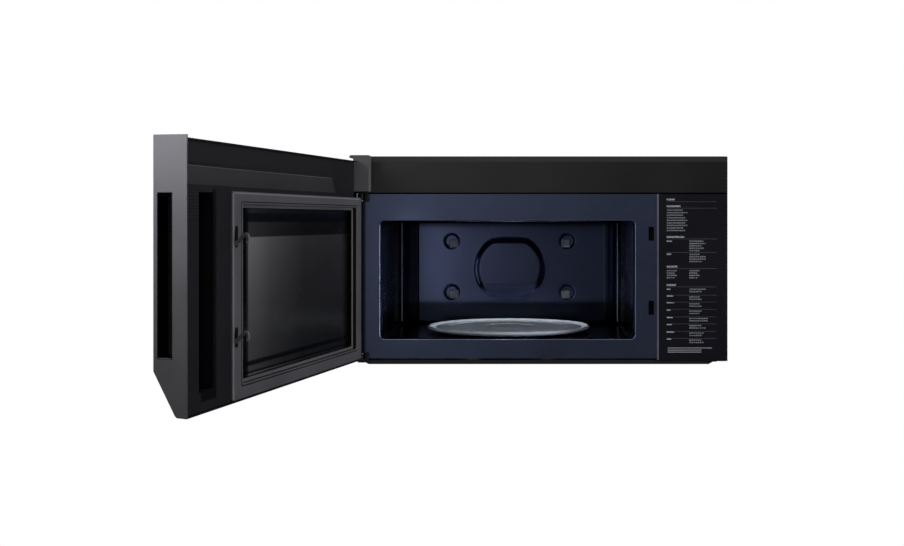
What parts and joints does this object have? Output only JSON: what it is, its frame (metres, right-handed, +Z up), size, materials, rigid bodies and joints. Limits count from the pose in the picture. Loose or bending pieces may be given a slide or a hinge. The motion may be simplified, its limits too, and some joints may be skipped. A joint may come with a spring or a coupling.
{
  "type": "over the range microwave",
  "caption": "Over-the-range microwave oven with a side-hinged full-width door, glass turntable and built-in vent, door shown open.",
  "frame": {"origin": "middle of the wall plate's four bolt holes, on the wall face", "axes": "+X to the right, +Y into the wall, +Z up; the oven's front faces -Y"},
  "size_m": [0.9634, 1.1704, 0.433],
  "materials": {
    "case_wrap": "satin black paint",
    "rear_panel": "galvanised",
    "wall_plate": "galvanised",
    "base_plate": "satin black paint",
    "cavity_supports": "galvanised",
    "front_band": "satin dark grey",
    "cavity_flange": "navy enamel",
    "cavity_liner": "navy enamel",
    "rack_studs": "dark",
    "waveguide_cover": "mica sheet",
    "trim_strip": "satin",
    "label_panel": "semi-gloss",
    "hinge_cap": "satin grey",
    "hinge_brackets": "black",
    "turntable_tray": "clear moulded glass",
    "roller_ring": "natural",
    "roller_1": "natural",
    "roller_2": "natural",
    "roller_3": "natural",
    "turntable_coupler": "natural",
    "turntable_motor": "plated",
    "latch_housing": "black",
    "interlock_switches": "black",
    "switch_plunger_upper": "red",
    "switch_plunger_lower": "red",
    "waveguide": "plated",
    "magnetron_yoke": "plated",
    "magnetron_core": "plain",
    "transformer_core": "varnished laminations",
    "transformer_windings": "enamelled wire",
    "capacitor": "plain",
    "fan_shroud": "plated",
    "fan_motor": "laminations",
    "cooling_fan": "black",
    "power_board": "green board",
    "cord_gland": "black",
    "blower_housings": "plated",
    "blower_wheels": "black",
    "blower_motor": "painted",
    "exhaust_collar": "galvanised",
    "damper_flap": "galvanised",
    "grease_filter_left": "mesh",
    "grease_filter_right": "mesh",
    "charcoal_filter": "carbon honeycomb",
    "lamp_lenses": "frosted",
    "cooktop_lamps": "white",
    "cavity_lamp": "white",
    "door_shell": "satin dark grey",
    "door_glass": "black back-painted glass",
    "door_end_panel": "satin grey",
    "door_choke_frame": "satin grey",
    "door_inner_pane": "dark tinted",
    "door_screen": "black perforated",
    "door_back_cover": "black",
    "door_control_board": "green board",
    "latch_key": "black",
    "latch_guides": "black",
    "latch_spring": "spring wire",
    "door_hinge_plates": "black oxide",
    "case_screws": "black oxide"
  },
  "bodies": {
    "oven": {"case_wrap": "case_wrap", "rear_panel": "rear_panel", "wall_plate": "wall_plate", "base_plate": "base_plate", "cavity_supports": "cavity_supports", "front_band": "front_band", "cavity_flange": "cavity_flange", "cavity_liner": "cavity_liner", "rack_studs": "rack_studs", "waveguide_cover": "waveguide_cover", "trim_strip": "trim_strip", "label_panel": "label_panel", "hinge_cap": "hinge_cap", "hinge_brackets": "hinge_brackets", "turntable_motor": "turntable_motor", "latch_housing": "latch_housing", "interlock_switches": "interlock_switches", "waveguide": "waveguide", "magnetron_yoke": "magnetron_yoke", "magnetron_core": "magnetron_core", "transformer_core": "transformer_core", "transformer_windings": "transformer_windings", "capacitor": "capacitor", "fan_shroud": "fan_shroud", "fan_motor": "fan_motor", "power_board": "power_board", "cord_gland": "cord_gland", "blower_housings": "blower_housings", "blower_motor": "blower_motor", "exhaust_collar": "exhaust_collar", "charcoal_filter": "charcoal_filter", "lamp_lenses": "lamp_lenses", "cooktop_lamps": "cooktop_lamps", "cavity_lamp": "cavity_lamp", "case_screws": "case_screws"},
    "door": {"door_shell": "door_shell", "door_glass": "door_glass", "door_end_panel": "door_end_panel", "door_choke_frame": "door_choke_frame", "door_inner_pane": "door_inner_pane", "door_screen": "door_screen", "door_back_cover": "door_back_cover", "door_control_board": "door_control_board", "latch_guides": "latch_guides", "latch_spring": "latch_spring", "door_hinge_plates": "door_hinge_plates"},
    "latch": {"latch_key": "latch_key"},
    "turntable": {"turntable_tray": "turntable_tray", "turntable_coupler": "turntable_coupler"},
    "roller_carrier": {"roller_ring": "roller_ring"},
    "roller_one": {"roller_1": "roller_1"},
    "roller_two": {"roller_2": "roller_2"},
    "roller_three": {"roller_3": "roller_3"},
    "vent_blower": {"blower_wheels": "blower_wheels"},
    "fan": {"cooling_fan": "cooling_fan"},
    "damper": {"damper_flap": "damper_flap"},
    "left_filter": {"grease_filter_left": "grease_filter_left"},
    "right_filter": {"grease_filter_right": "grease_filter_right"},
    "upper_plunger": {"switch_plunger_upper": "switch_plunger_upper"},
    "lower_plunger": {"switch_plunger_lower": "switch_plunger_lower"}
  },
  "joints": [
    {"name": "door_hinge", "type": "hinge", "parent": "oven", "child": "door", "pos_m": [-0.3816, -0.424, 0.095], "axis": [0, 0, 1], "range_deg": [-5, 101.8]},
    {"name": "latch_lift", "type": "slide", "parent": "door", "child": "latch", "axis": [0, 0, 1], "range_m": [0, 0.004], "stiffness_N_per_m": 200, "deforming": ["latch_spring"]},
    {"name": "turntable_spin", "type": "hinge", "parent": "oven", "child": "turntable", "pos_m": [-0.0785, -0.214, -0.045], "axis": [0, 0, 1], "continuous": true},
    {"name": "ring_spin", "type": "hinge", "parent": "oven", "child": "roller_carrier", "pos_m": [-0.0785, -0.214, -0.051], "axis": [0, 0, 1], "continuous": true},
    {"name": "roller_one_spin", "type": "hinge", "parent": "roller_carrier", "child": "roller_one", "pos_m": [-0.0785, -0.1057, -0.051], "axis": [0, 1, 0], "continuous": true},
    {"name": "roller_two_spin", "type": "hinge", "parent": "roller_carrier", "child": "roller_two", "pos_m": [-0.17229, -0.26815, -0.051], "axis": [-0.866, -0.5, 0], "continuous": true},
    {"name": "roller_three_spin", "type": "hinge", "parent": "roller_carrier", "child": "roller_three", "pos_m": [0.01529, -0.26815, -0.051], "axis": [0.866, -0.5, 0], "continuous": true},
    {"name": "vent_blower_spin", "type": "hinge", "parent": "oven", "child": "vent_blower", "pos_m": [0, -0.0585, 0.25], "axis": [1, 0, 0], "continuous": true},
    {"name": "cooling_fan_spin", "type": "hinge", "parent": "oven", "child": "fan", "pos_m": [0.29, -0.06, 0.179], "axis": [0, 1, 0], "continuous": true},
    {"name": "damper_hinge", "type": "hinge", "parent": "oven", "child": "damper", "pos_m": [0, -0.02, 0.305], "axis": [-1, 0, 0], "range_deg": [0, 80]},
    {"name": "left_filter_slide", "type": "slide", "parent": "oven", "child": "left_filter", "axis": [0, 1, 0], "range_m": [0, 0.008]},
    {"name": "right_filter_slide", "type": "slide", "parent": "oven", "child": "right_filter", "axis": [0, 1, 0], "range_m": [0, 0.008]},
    {"name": "upper_plunger_press", "type": "slide", "parent": "oven", "child": "upper_plunger", "axis": [0, 1, 0], "range_m": [0, 0.002], "stiffness_N_per_m": 300},
    {"name": "lower_plunger_press", "type": "slide", "parent": "oven", "child": "lower_plunger", "axis": [0, 1, 0], "range_m": [0, 0.002], "stiffness_N_per_m": 300}
  ],
  "couplings": [
    {"joint": "ring_spin", "follows": "turntable_spin", "ratio": 0.5},
    {"joint": "roller_one_spin", "follows": "turntable_spin", "ratio": -9.5},
    {"joint": "roller_two_spin", "follows": "turntable_spin", "ratio": -9.5},
    {"joint": "roller_three_spin", "follows": "turntable_spin", "ratio": -9.5}
  ]
}
